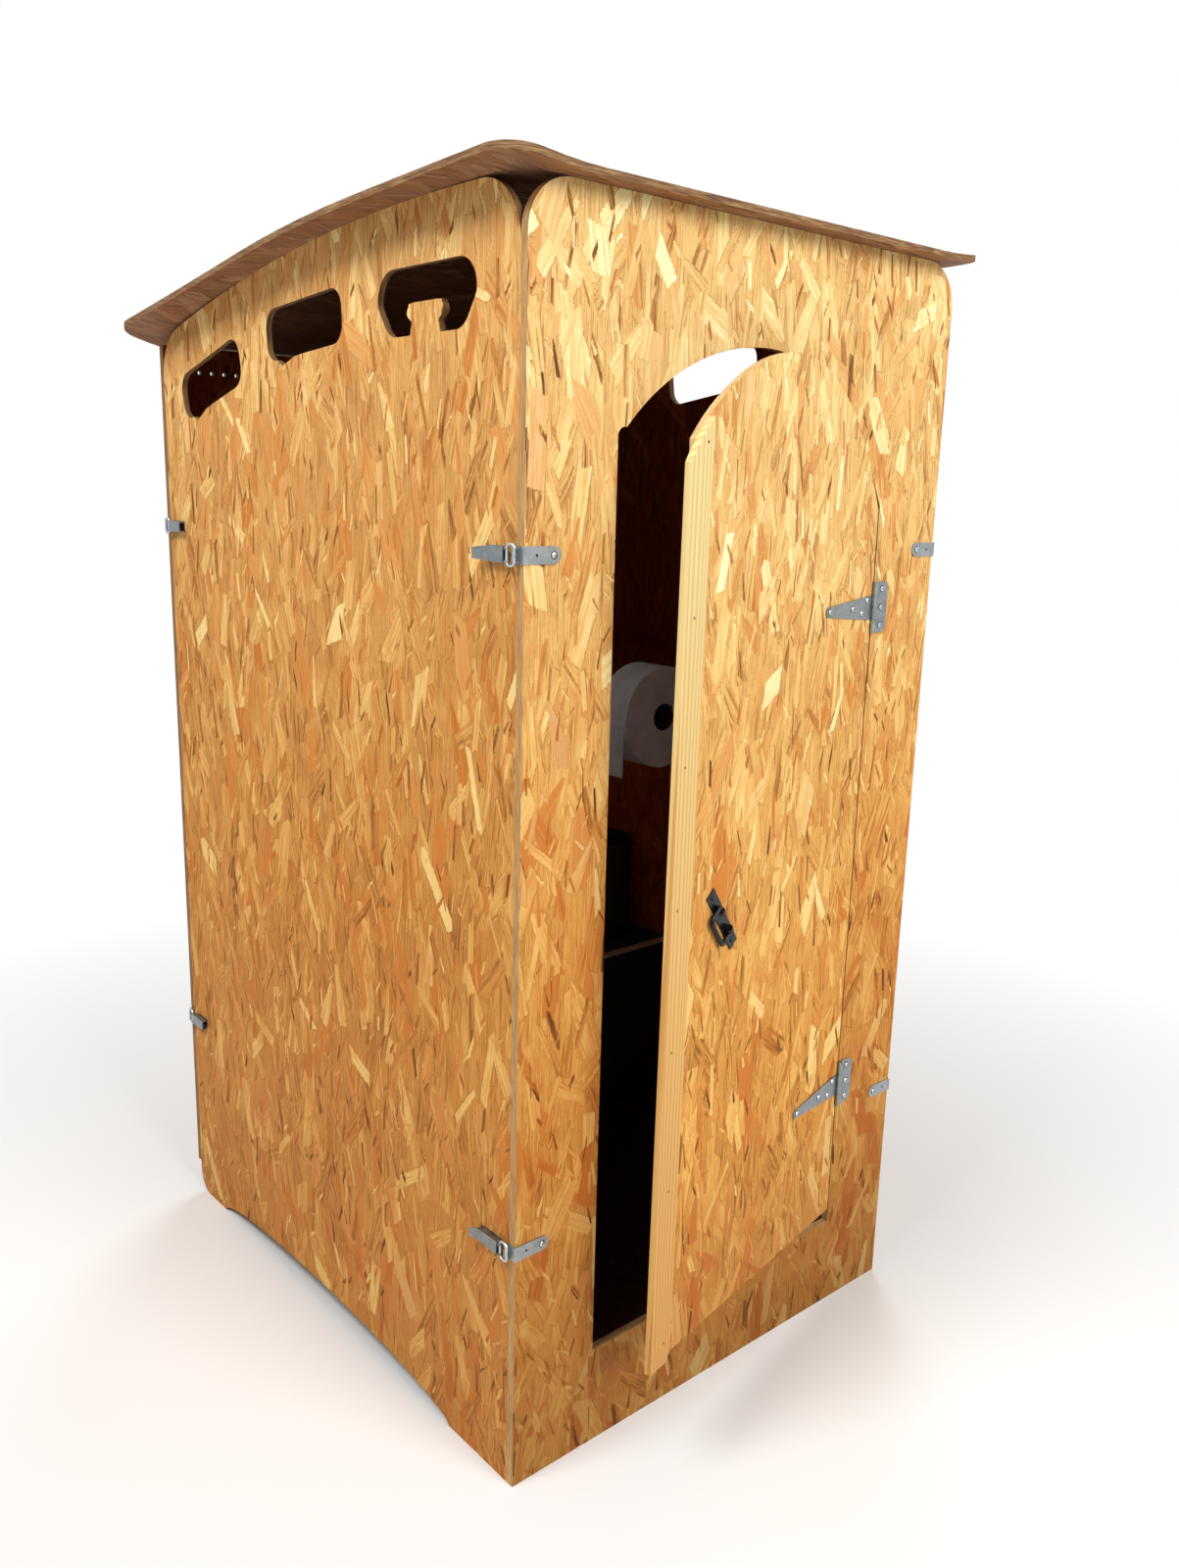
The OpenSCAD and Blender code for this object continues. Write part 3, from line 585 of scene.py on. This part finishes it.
def strand_board(name, stops, face, outward, seed=(0, 0, 0), turn=0.0, inside=None, painted_light=None, edge=EDGE,
                 orange=1.0):
    """Strand board: face names the sheet's two axes and the one through it, outward is its outer side."""
    made, g, shader = new_material(name)
    seen = g.node("ShaderNodeTexCoord")
    at, normal = seen.outputs["Object"], seen.outputs["Normal"]
    if turn:
        at = g.turned(at, -turn)
        normal = g.turned(normal, -turn)
    axes = g.split(at)
    sides = g.split(normal)
    first, second, through = ("xyz".index(axis) for axis in face)
    on_back = g.math("LESS_THAN", g.math("MULTIPLY", sides[through], outward), 0.0)
    plane = g.vector("ADD", g.join(axes[first], axes[second]), seed)
    plane = g.vector("ADD", plane, g.scaled(BACK_SHIFT, on_back))
    board = g.node("ShaderNodeGroup", {"Point": plane}, node_tree=STRANDS)
    tone = board.outputs["Tone"]
    colour = g.ramp(tone, stops)
    # Painted highlight growing towards the top, which also takes away orange there
    if painted_light:
        share = painted_highlight_share(g, axes[2], painted_light)
        colour = with_painted_highlight(g, colour, share, tone)
        orange = g.math("MULTIPLY_ADD", share, HIGHLIGHT_ORANGE, orange)
    colour = g.mix(g.math("MULTIPLY", board.outputs["Orange"], orange), colour, ORANGE)
    # Painted shade, darker towards the foot
    if painted_light:
        colour = with_painted_shade(g, colour, axes[2], painted_light)
    # Inner faces darkened by a tint of painted shade
    if inside:
        shaded_inside = g.mix(1.0, colour, (*inside, 1.0), "MULTIPLY")
        colour = g.mix(on_back, colour, shaded_inside)
    edge_at = g.vector("MULTIPLY", at, stretched(face[2], EDGE_THROUGH, EDGE_ALONG))
    edge_colour = g.ramp(g.noise(edge_at, 1.0, detail=1.0, roughness=0.7), edge)
    on_edge = g.math("LESS_THAN", g.math("ABSOLUTE", sides[through]), EDGE_FACING)
    g.feed(shader.inputs["Base Color"], g.mix(on_edge, colour, edge_colour))
    g.feed(shader.inputs["Roughness"], g.span(tone, *STRAND_ROUGH))
    shader.inputs["Specular IOR Level"].default_value = STRAND_SHINE
    relief = g.noise_flat(g.vector("MULTIPLY", plane, RELIEF), detail=2.0, roughness=0.6)
    bump(g, shader, relief, RELIEF_DEPTH, strength=0.6)
    return made


def pine(name, tint, turn=0.0, grain="z", painted_light=None):
    """Planed pine: fine straight growth lines along the grain with a dense late side, and faint pores."""
    made, g, shader = new_material(name)
    at = g.place()
    if turn:
        at = g.turned(at, -turn)
    axes = g.split(at)
    first, second = (index for index, axis in enumerate("xyz") if axis != grain)
    bend = g.noise(g.vector("MULTIPLY", at, stretched(grain, *PINE_BEND)), 1.0, detail=2.0, roughness=0.5)
    ring = g.math("ADD", axes[first], g.math("MULTIPLY", axes[second], RING_SLOPE))
    ring = g.math("MULTIPLY_ADD", bend, RING_BEND, ring)
    wave = g.math("FRACT", g.math("MULTIPLY", ring, RINGS_PER_METRE))
    late = g.math("MULTIPLY", g.span(wave, *LATE_RISE), g.span(wave, *LATE_FALL))
    fibre = g.noise(g.vector("MULTIPLY", at, stretched(grain, *PINE_FIBRE)), 1.0, detail=3.0, roughness=0.6)
    colour = g.mix(g.math("MULTIPLY", late, LATE_SHARE), (*tint, 1.0), tinted(tint, DENSE))
    colour = g.mix(g.span(fibre, *PORE_SPAN), colour, tinted(tint, PORES))
    # Painted highlight towards the top and painted shade towards the foot
    if painted_light:
        colour = with_painted_highlight(g, colour, painted_highlight_share(g, axes[2], painted_light), 1.0)
        colour = with_painted_shade(g, colour, axes[2], painted_light)
    g.feed(shader.inputs["Base Color"], colour)
    g.feed(shader.inputs["Roughness"], g.span(fibre, *PINE_ROUGH))
    shader.inputs["Specular IOR Level"].default_value = PINE_SHINE
    bump(g, shader, g.math("MULTIPLY_ADD", late, LATE_RELIEF, fibre), PINE_DEPTH, strength=0.5)
    return made


def zinc(name, level=1.0, rough=0.34):
    """Zinc plate: soft bright metal with a faint spangle and fine scratches."""
    made, g, shader = new_material(name)
    at = g.place()
    spangle = g.node("ShaderNodeTexVoronoi", {"Vector": at, "Scale": SPANGLE}).outputs["Color"]
    cloud = g.noise(at, ZINC_CLOUD, detail=4.0, roughness=0.6)
    scratch = g.noise(g.vector("MULTIPLY", at, SCRATCH), 1.0, detail=2.0, roughness=0.6)
    tone = g.math("MULTIPLY_ADD", g.split(spangle)[0], SPANGLE_SHARE, g.math("MULTIPLY", cloud, CLOUD_SHARE))
    colour = g.ramp(tone, [(place, tuple(level * part for part in shade)) for place, shade in ZINC])
    g.feed(shader.inputs["Base Color"], colour)
    shader.inputs["Metallic"].default_value = 1.0
    g.feed(shader.inputs["Roughness"], g.span(cloud, *CLOUD, *[rough + change for change in ZINC_ROUGH]))
    bump(g, shader, g.math("ADD", scratch, cloud), ZINC_DEPTH, strength=0.25)
    return made


def black(name, colour, rough, scale, depth, shine=0.5):
    """Black finish with a slight mottle, so that it is not one flat tone."""
    made, g, shader = new_material(name)
    at = g.place()
    cloud = g.noise(at, scale, detail=4.0, roughness=0.6)
    fine = g.noise(at, scale * FINER, detail=2.0, roughness=0.5)
    mottle = [(place, tuple(part * share for part in colour)) for place, share in MOTTLE]
    g.feed(shader.inputs["Base Color"], g.ramp(cloud, mottle))
    shader.inputs["Specular IOR Level"].default_value = shine
    g.feed(shader.inputs["Roughness"], g.span(cloud, *CLOUD, *[rough + change for change in BLACK_ROUGH]))
    bump(g, shader, fine, depth, strength=0.4)
    return made


def paper(name):
    """Soft tissue paper with a fine pressed pattern and rings of turns on the roll's ends."""
    made, g, shader = new_material(name)
    at = g.place()
    low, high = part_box("paper_roll")
    centre = (low + high) / 2
    parts = g.split(g.vector("SUBTRACT", at, tuple(centre)))
    radius = g.vector("LENGTH", g.join(parts[0], parts[2]))
    turns = g.math("SINE", g.math("MULTIPLY", radius, TURN_WAVES))
    soft = g.noise(at, TISSUE_FINE, detail=3.0, roughness=0.6)
    cloud = g.noise(at, TISSUE_CLOUD, detail=2.0, roughness=0.5)
    tone = g.math("MULTIPLY_ADD", turns, TURN_SHARE, g.math("MULTIPLY_ADD", soft, FINE_SHARE, cloud))
    in_core = g.math("LESS_THAN", radius, CORE)
    g.feed(shader.inputs["Base Color"], g.mix(in_core, g.ramp(tone, TISSUE), CORE_COLOUR))
    shader.inputs["Roughness"].default_value = PAPER_ROUGH
    shader.inputs["Specular IOR Level"].default_value = PAPER_SHINE
    bump(g, shader, g.math("MULTIPLY_ADD", turns, TURN_RELIEF, soft), PAPER_DEPTH, strength=0.5)
    return made


def dress(material, *names):
    """Give each named node a material."""
    for name in names:
        slots = nodes[name].data.materials
        slots.clear()
        slots.append(material)


dress(strand_board("front_strands", STRAW_FRONT, "xzy", -1, inside=INNER_PAINTED_SHADE, painted_light=FRONT_PAINTED_LIGHT,
                   edge=FRONT_EDGE),
      "front_left_jamb", "front_right_jamb", "front_head", "front_sill")
dress(strand_board("left_strands", STRAW_SIDE_SHADED, "yzx", -1, LEFT_SEED, inside=INNER_PAINTED_SHADE,
                   painted_light=SIDE_PAINTED_LIGHT),
      "left_wall", "left_vent_band")
dress(strand_board("right_strands", STRAW_SIDE_SHADED, "yzx", 1, RIGHT_SEED, inside=INNER_PAINTED_SHADE,
                   painted_light=SIDE_PAINTED_LIGHT),
      "right_wall", "right_front_vent_panel", "right_middle_vent_panel", "right_back_vent_panel")
dress(strand_board("back_strands", STRAW_SIDE_SHADED, "xzy", 1, BACK_SEED, inside=INNER_PAINTED_SHADE,
                   painted_light=SIDE_PAINTED_LIGHT),
      "back_wall")
dress(strand_board("door_strands", STRAW_FRONT, "xzy", -1, DOOR_SEED, DOOR_OPEN, inside=DOOR_INSIDE_SHADE,
                   painted_light=DOOR_PAINTED_LIGHT, edge=FRESH_EDGE),
      "door_panel")
dress(strand_board("floor_strands", STRAW_SIDE_SHADED, "xyz", -1, FLOOR_SEED, inside=FLOOR_PAINTED_SHADE), "floor_panel")
dress(strand_board("roof_strands", STRAW_ROOF, "yxz", 1, ROOF_SEED, orange=ROOF_ORANGE), "roof_sheet")
dress(pine("door_pine", PINE, DOOR_OPEN, painted_light=PINE_PAINTED_LIGHT), "door_strip")
dress(pine("bearer_pine", PINE, grain="y"), "floor_bearers")
dress(pine("lipping_pine", LIPPING, grain="x"), "bench_lipping")
dress(zinc("zinc_plate"), "hinge_straps", "hinge_plates", "latch_bases")
dress(zinc("hook_zinc", level=1.28), "latch_hooks")
dress(zinc("bail_zinc", level=1.85, rough=0.28), "latch_bails")
dress(zinc("lever_zinc", level=0.86), "latch_levers")
dress(black("black_panel", (0.010, 0.009, 0.009), rough=0.5, scale=12.0, depth=0.0002),
      "bench_front", "bench_top")
dress(black("black_plastic", (0.014, 0.014, 0.015), rough=0.42, scale=20.0, depth=0.0002),
      "bucket", "seat_ring")
BLACK_STEEL = black("black_steel", (0.005, 0.0045, 0.005), rough=0.24, scale=45.0, depth=0.0003, shine=0.28)
dress(BLACK_STEEL, "roll_holder", "handle_plate", "handle_bow")
dress(paper("tissue"), "paper_roll", "paper_end")


def at_cabin(x, y, z):
    """A place in millimetres from the middle of the front face's foot, as a place in the frame."""
    return Vector((LEFT_FACE + HALF_W / MM_PER_METRE + x / MM_PER_METRE, FRONT_FACE + y / MM_PER_METRE,
                   z / MM_PER_METRE))


def at_door(x, y, z):
    """A place in millimetres on the door when it is shut, as a place in the frame with the door ajar."""
    return PIN + DOOR_TURN @ (at_cabin(x, y, z) - PIN)


def show(name, data):
    """A new object in the scene."""
    made = bpy.data.objects.new(name, data)
    bpy.context.scene.collection.objects.link(made)
    return made


def finished(name, built, *materials):
    """A new object with the mesh that was built."""
    mesh = bpy.data.meshes.new(name)
    built.to_mesh(mesh)
    built.free()
    for material in materials:
        mesh.materials.append(material)
    return show(name, mesh)


def stand_for(node, name, body, moved):
    """A copy of a node's mesh shown in its place; moved gives each point's new place with the door shut."""
    shut = DOOR_TURN.transposed() if body == "door" else Matrix.Identity(3)
    corner = at_cabin(0, 0, 0)
    source = nodes[node].data
    built = bmesh.new()
    built.from_mesh(source)
    bmesh.ops.dissolve_limit(built, angle_limit=FLAT, verts=[], edges=built.edges[:])
    for point in built.verts:
        place = moved(*((PIN + shut @ (point.co - PIN) - corner) * MM_PER_METRE))
        point.co = at_door(*place) if body == "door" else at_cabin(*place)
    bmesh.ops.triangulate(built, faces=built.faces[:])
    made = finished(name, built, source.materials[0])
    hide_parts(node)
    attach(made, body)
    return made


def hinge_arch(x):
    """Height of the doorway's arch on its hinge side, where it falls lower than on the free side."""
    return ARCH_TOP - ARCH_FALL * (1 - math.sqrt(1 - (x / ARCH_WIDE) ** 2))


def lifted(z):
    """Height of a point on the door, whose foot is lifted."""
    return z + FOOT_LIFT if z < FOOT_Z else z


def low_arch(x, y, z):
    """Board over the doorway, with the arch drawn down on the hinge side."""
    return x, y, hinge_arch(x) if x > 0 and z < ARCH_TOP + ARCH_NEAR else z


def thin_panel(x, y, z):
    """Door panel thinner and shorter at the foot than its node, and nearer the arch on the hinge side."""
    if z > ARCH_MIDDLE and x > 0:
        z = hinge_arch(x) - (ARCH_GAP - ARCH_CLOSE) - HINGE_GAP * (x / HINGE_X) ** 2
    elif z > ARCH_MIDDLE:
        radius = ARCH_RADIUS + ARCH_CLOSE * max(1 + x / ARCH_EASE, 0)
        z = ARCH_MIDDLE + math.sqrt(radius ** 2 - x ** 2)
    x += HINGE_CLOSE * max(x - HINGE_X, 0)
    return x, min(y, PANEL_T), lifted(z)


def askew_strip(x, y, z):
    """Pine strip nailed on slightly askew: narrower, its top leaning towards the hinges."""
    x = STRIP_LEFT + (x - STRIP_LEFT) * STRIP_NARROW + STRIP_LEAN * z
    if z > ARCH_MIDDLE:
        z = ARCH_MIDDLE + math.sqrt(ARCH_RADIUS ** 2 - x ** 2)
    return x, y, lifted(z)


def thin_vents(x, y, z):
    """Left wall's band with thinner cut edges; the front vent is drawn in below and at its tongue."""
    across, below = y - TONGUE_Y, VENT_Z - z
    if abs(across) < TONGUE_HALF and below > TONGUE_DROP:
        if below < NECK_DROP:
            share = max(below - HEAD_DROP, 0) / (NECK_DROP - HEAD_DROP)
            across *= HEAD + (NECK - HEAD) * share * share * (3 - 2 * share)
        else:
            across *= NECK + (ROOT - NECK) * min((below - NECK_DROP) / (VENT_DROP - NECK_DROP), 1)
    elif abs(across) < VENT_HALF and 0 < below < VENT_DROP:
        across -= math.copysign(DRAWN_IN * below / VENT_DROP, across)
    return min(x, PANEL_T - HALF_W), TONGUE_Y + across, z


def ring(built, place, lay, radius, rise):
    """Points of a ring at a height over a place, turned outwards by lay."""
    points = []
    for step in range(RING):
        angle = math.tau * step / RING
        point = Vector((radius * math.cos(angle), radius * math.sin(angle), rise))
        points.append(built.verts.new(place + lay @ point))
    return points


def cross(built, place, lay, radius, high, turn):
    """Two dark bars across the top of a head, painted shade of its cross recess."""
    for quarter in (0, 1):
        angle = turn + quarter * math.pi / 2
        long = Vector((math.cos(angle), math.sin(angle), 0)) * radius * CROSS_LONG
        wide = Vector((-math.sin(angle), math.cos(angle), 0)) * radius * CROSS_WIDE
        above = Vector((0, 0, high + CROSS_LIFT * (1 + quarter)))
        corners = (-long - wide, long - wide, long + wide, wide - long)
        face = built.faces.new([built.verts.new(place + lay @ (corner + above)) for corner in corners])
        face.material_index = 1


def heads(name, places, body, slot, *finishes):
    """Raised heads of screws or nails; a second finish paints shade as a dark rim and a cross on each."""
    built = bmesh.new()
    for place, outward, (radius, high), turn in places:
        lay = outward.to_track_quat("Z", "Y").to_matrix()
        rings = [ring(built, place, lay, share * radius, rise * high) for share, rise in HEAD_RINGS]
        for low, top in zip(rings, rings[1:]):
            for step in range(RING):
                after = (step + 1) % RING
                built.faces.new((low[step], low[after], top[after], top[step]))
        built.faces.new(rings[-1])
        if len(finishes) > 1:
            rim = built.faces.new(ring(built, place, lay, RIM * radius, RIM_LIFT))
            rim.material_index = 1
            cross(built, place, lay, radius, high, turn)
    made = finished(name, built, *finishes)
    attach(made, body)


def fixings():
    """Screws of the hinges, latches and handle, and the nails of the pine strip."""
    ahead = Vector((0, -1, 0))
    door_out = DOOR_TURN @ ahead
    bright = zinc("screw_zinc", level=2.1, rough=0.24)
    # Dark finish of painted shade for the rims, crosses and hook holes
    dark = black("screw_recess_shade", (0.020, 0.020, 0.022), rough=0.6, scale=60.0, depth=0.0001)
    rust = black("nail_rust", (0.045, 0.024, 0.012), rough=0.7, scale=90.0, depth=0.0001)
    strap, plate, hook, hole, pull = [], [], [], [], []
    for z in HINGE_HEIGHTS:
        for count, (x, up) in enumerate(STRAP_SCREWS):
            turn = STRAP_TURN[0] + STRAP_TURN[1] * count
            strap.append((at_door(PIN_X + x, -LEAF, z + up), door_out, STRAP_HEAD, turn))
        for count, up in enumerate(PLATE_SCREWS):
            turn = PLATE_TURN[0] + PLATE_TURN[1] * count
            plate.append((at_cabin(PLATE_SCREW_X, -LEAF, z + up), ahead, PLATE_HEAD, turn))
    for z in LATCH_HEIGHTS:
        for side in (-1, 1):
            for y, out, turn in ((0, -1, FRONT_HOOK_TURN), (DEPTH, 1, BACK_HOOK_TURN)):
                outward = Vector((0, out, 0))
                screw = at_cabin(side * HOOK_SCREW_X, y + out * LEAF, z)
                shade = at_cabin(side * HOOK_HOLE_X, y + out * HOOK_HOLE_OUT, z)
                hook.append((screw, outward, HOOK_HEAD, turn * z))
                hole.append((shade, outward, HOLE_SHADE, 0.0))
    for reach in HANDLE_SCREWS:
        x, z = HANDLE_X - reach * math.sin(HANDLE_TILT), HANDLE_Z + reach * math.cos(HANDLE_TILT)
        pull.append((at_door(x, -LEAF, z), door_out, HANDLE_HEAD, HANDLE_TURN + reach))
    nails = [(at_door(x, -STRIP, z), door_out, NAIL_HEAD, 0.0) for x, z in NAILS]
    heads("strap_screws", strap, "door", "zinc", bright, dark)
    heads("plate_screws", plate, "cabin", "zinc", bright, dark)
    heads("hook_screws", hook, "cabin", "zinc", bright, dark)
    heads("hook_hole_shades", hole, "cabin", "zinc", dark)
    heads("handle_screws", pull, "door", "black_steel", BLACK_STEEL, dark)
    heads("strip_nails", nails, "door", "zinc", rust)


fixings()
stand_for("door_panel", "door_leaf", "door", thin_panel)
stand_for("door_strip", "door_batten", "door", askew_strip)
stand_for("left_vent_band", "left_vent_sheet", "cabin", thin_vents)
stand_for("front_head", "front_crown", "cabin", low_arch)


def seen_directly(g):
    """One for a ray that sees straight or by reflection, nought for one that only gathers light."""
    path = g.node("ShaderNodeLightPath").outputs
    reflected = g.math("MAXIMUM", path["Is Glossy Ray"], path["Is Transmission Ray"])
    return g.math("MAXIMUM", path["Is Camera Ray"], reflected)


def stage():
    """White floor that keeps the shadow and fades into a white surround."""
    made, g, shader = new_material("floor_white")
    distance = g.vector("LENGTH", g.vector("MULTIPLY", g.place(), (1.0, 1.0, 0.0)))
    shader.inputs["Base Color"].default_value = FLOOR_COLOUR
    shader.inputs["Roughness"].default_value = FLOOR_ROUGH
    shader.inputs["Specular IOR Level"].default_value = 0.0
    glow = g.node("ShaderNodeEmission", {"Color": WHITE, "Strength": 1.0})
    fade = g.math("MULTIPLY", seen_directly(g), g.span(distance, *FLOOR_FADE))
    blend = g.node("ShaderNodeMixShader", {0: fade, 1: shader.outputs[0], 2: glow.outputs[0]})
    output = next(n for n in g.tree.nodes if n.type == "OUTPUT_MATERIAL")
    g.tree.links.new(blend.outputs[0], output.inputs["Surface"])
    mesh = bpy.data.meshes.new("floor")
    corners = [(x * FLOOR_REACH, y * FLOOR_REACH, 0) for x, y in ((-1, -1), (1, -1), (1, 1), (-1, 1))]
    mesh.from_pydata(corners, [], [(0, 1, 2, 3)])
    mesh.materials.append(made)
    floor = show("floor", mesh)


def surround(level):
    """World: white where it is seen, a softer even light where it lights."""
    world = bpy.data.worlds.new("surround")
    bpy.context.scene.world = world
    world.use_nodes = True
    world.node_tree.nodes.clear()
    g = Graph(world.node_tree)
    strength = g.math("MULTIPLY_ADD", seen_directly(g), 1.0 - level, level)
    back = g.node("ShaderNodeBackground", {"Color": WHITE, "Strength": strength})
    output = g.node("ShaderNodeOutputWorld")
    g.tree.links.new(back.outputs[0], output.inputs["Surface"])


def lamp(name, place, target, size, power):
    """Round lamp at a place, turned to a target."""
    data = bpy.data.lights.new(name, "AREA")
    data.shape = "DISK"
    data.size = size
    data.energy = power
    made = show(name, data)
    made.location = place
    made.rotation_mode = "QUATERNION"
    made.rotation_quaternion = (Vector(target) - Vector(place)).to_track_quat("-Z", "Y")


def camera():
    """Camera of the photo, solved from the cabin's edges."""
    yaw, pitch = CAMERA_YAW, CAMERA_PITCH
    ahead = Vector((math.sin(yaw) * math.cos(pitch), math.cos(yaw) * math.cos(pitch), -math.sin(pitch)))
    level = Vector((math.cos(yaw), -math.sin(yaw), 0.0))
    below = ahead.cross(level)
    right = math.cos(CAMERA_ROLL) * level + math.sin(CAMERA_ROLL) * below
    down = math.cos(CAMERA_ROLL) * below - math.sin(CAMERA_ROLL) * level
    data = bpy.data.cameras.new("camera")
    data.sensor_width = SENSOR
    data.lens = SENSOR * FOCAL_PIXELS / IMAGE_H
    made = show("camera", data)
    turn = Matrix((right, -down, -ahead)).transposed().to_4x4()
    made.matrix_world = Matrix.Translation(Vector((LEFT_FACE, FRONT_FACE, 0)) + CAMERA_FROM_CORNER) @ turn
    bpy.context.scene.camera = made


stage()
surround(SURROUND_LEVEL)
for row in LAMPS:
    lamp(*row)
camera()

bpy.context.scene.view_settings.view_transform = "Standard"
